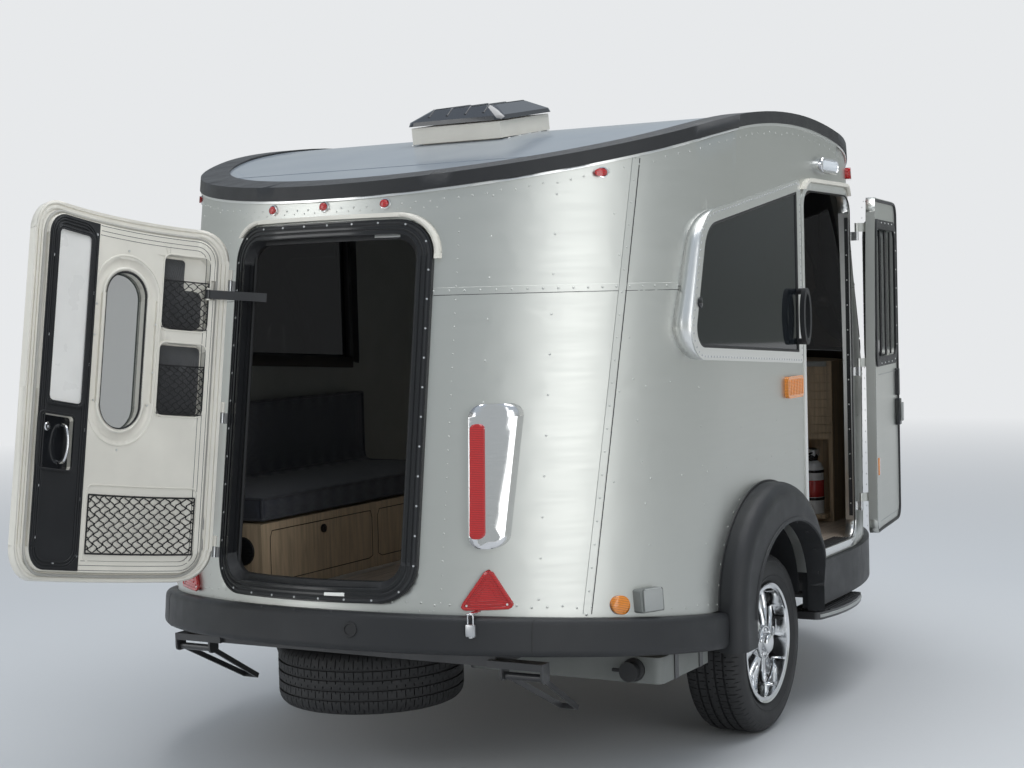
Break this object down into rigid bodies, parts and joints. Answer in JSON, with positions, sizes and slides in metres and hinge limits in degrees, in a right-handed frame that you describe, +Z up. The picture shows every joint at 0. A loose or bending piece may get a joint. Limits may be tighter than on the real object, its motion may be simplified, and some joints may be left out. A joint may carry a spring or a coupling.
{
  "type": "teardrop camping trailer",
  "caption": "Small riveted aluminium teardrop travel trailer on one axle, with an open rear hatch and an open side door.",
  "frame": {"origin": "centre of the tow ball inside the coupler", "axes": "+X forward along the tongue, +Y to the trailer's left, +Z up"},
  "size_m": [5.6239, 2.3127, 2.4252],
  "materials": {
    "riveted_aluminium": "satin",
    "bright_aluminium": "brushed",
    "black_moulding": "satin",
    "roof_paint": "gloss",
    "smoked_pane": "gloss",
    "cream_moulding": "satin",
    "smoked_lid": "gloss",
    "plank_floor": "satin",
    "chassis_steel": "satin",
    "zinc_steel": "satin",
    "grey_tank": "satin",
    "tyre": "matte",
    "polished_rim": "polished",
    "lamp_chrome": "polished",
    "red_lens": "gloss",
    "amber_lens": "gloss",
    "gas_bottle": "gloss",
    "cabinet_wood": "satin",
    "navy_fabric": "woven",
    "bottle_white": "gloss"
  },
  "bodies": {
    "body": {"rear_wall": "riveted_aluminium", "right_wall": "riveted_aluminium", "left_wall": "riveted_aluminium", "nose_lower": "riveted_aluminium", "nose_upper": "black_moulding", "windscreen_panes": "smoked_pane", "roof_panel": "roof_paint", "roof_edge_trim": "black_moulding", "gutter_rail": "bright_aluminium", "floor_panel": "plank_floor", "wheel_wells": "black_moulding", "wheel_flares": "black_moulding", "rear_bumper": "black_moulding", "front_skirt": "black_moulding", "window_flanges": "bright_aluminium", "side_panes": "smoked_pane", "side_door_frame": "bright_aluminium", "hatch_frame": "black_moulding", "chassis_frame": "chassis_steel", "coupler": "chassis_steel", "jack_post": "zinc_steel", "axle_beam": "chassis_steel", "spare_wheel": "tyre", "spare_carrier": "chassis_steel", "grey_tank": "grey_tank", "gas_bottles": "gas_bottle", "vent_base": "cream_moulding", "tail_lamps": "lamp_chrome", "grab_handle": "black_moulding", "bench_units": "cabinet_wood", "cushions": "navy_fabric", "galley_unit": "cabinet_wood", "extinguisher": "bottle_white", "hinge_knuckles": "zinc_steel", "drip_rails": "cream_moulding", "red_lamps": "red_lens", "amber_lamps": "amber_lens", "socket_box": "grey_tank", "porch_lamp": "lamp_chrome", "tank_straps": "chassis_steel", "step_guides": "chassis_steel"},
    "wheel_left": {"tyre_left": "tyre", "rim_left": "polished_rim"},
    "wheel_right": {"tyre_right": "tyre", "rim_right": "polished_rim"},
    "hatch": {"hatch_leaf": "cream_moulding", "hatch_pane": "smoked_pane", "hatch_cover": "black_moulding", "hatch_latch": "lamp_chrome"},
    "hatch_stay": {"hatch_stay": "chassis_steel"},
    "side_door": {"side_door_leaf": "riveted_aluminium", "side_door_pane": "smoked_pane", "side_door_trim": "black_moulding"},
    "vent_lid": {"vent_lid": "smoked_lid"},
    "jack_leg": {"jack_leg": "zinc_steel"},
    "stand_left": {"stand_left": "chassis_steel"},
    "stand_right": {"stand_right": "chassis_steel"},
    "entry_step": {"entry_step": "chassis_steel"}
  },
  "joints": [
    {"name": "wheel_left_spin", "type": "hinge", "parent": "body", "child": "wheel_left", "pos_m": [-3.33, 0.939, -0.114], "axis": [0, 1, 0], "continuous": true},
    {"name": "wheel_right_spin", "type": "hinge", "parent": "body", "child": "wheel_right", "pos_m": [-3.33, -0.939, -0.114], "axis": [0, 1, 0], "continuous": true},
    {"name": "hatch_hinge", "type": "hinge", "parent": "body", "child": "hatch", "pos_m": [-4.79833, 0.41, 0.262], "axis": [0.1483, 0, 0.9889], "range_deg": [0, 101]},
    {"name": "hatch_stay_swivel", "type": "hinge", "parent": "hatch", "child": "hatch_stay", "pos_m": [-4.74405, 0.43, 1.243], "axis": [0.1483, 0, 0.9889], "range_deg": [-114.5, 0]},
    {"name": "side_door_hinge", "type": "hinge", "parent": "body", "child": "side_door", "pos_m": [-2.335, -1.085, 0.162], "axis": [0, 0, 1], "range_deg": [-187, 0]},
    {"name": "vent_lid_hinge", "type": "hinge", "parent": "body", "child": "vent_lid", "pos_m": [-3.38099, 0, 1.93292], "axis": [0, 1, 0], "range_deg": [0, 60]},
    {"name": "jack_slide", "type": "slide", "parent": "body", "child": "jack_leg", "axis": [0, 0, 1], "range_m": [0, 0.3]},
    {"name": "stand_left_hinge", "type": "hinge", "parent": "body", "child": "stand_left", "pos_m": [-4.57, 0.677, -0.025], "axis": [0, 1, 0], "range_deg": [0, 62]},
    {"name": "stand_right_hinge", "type": "hinge", "parent": "body", "child": "stand_right", "pos_m": [-4.57, -0.677, -0.025], "axis": [0, 1, 0], "range_deg": [0, 62]},
    {"name": "step_slide", "type": "slide", "parent": "body", "child": "entry_step", "axis": [0, -1, 0], "range_m": [0, 0.2]}
  ],
  "couplings": [
    {"joint": "hatch_stay_swivel", "follows": "hatch_hinge", "ratio": -1.133}
  ]
}
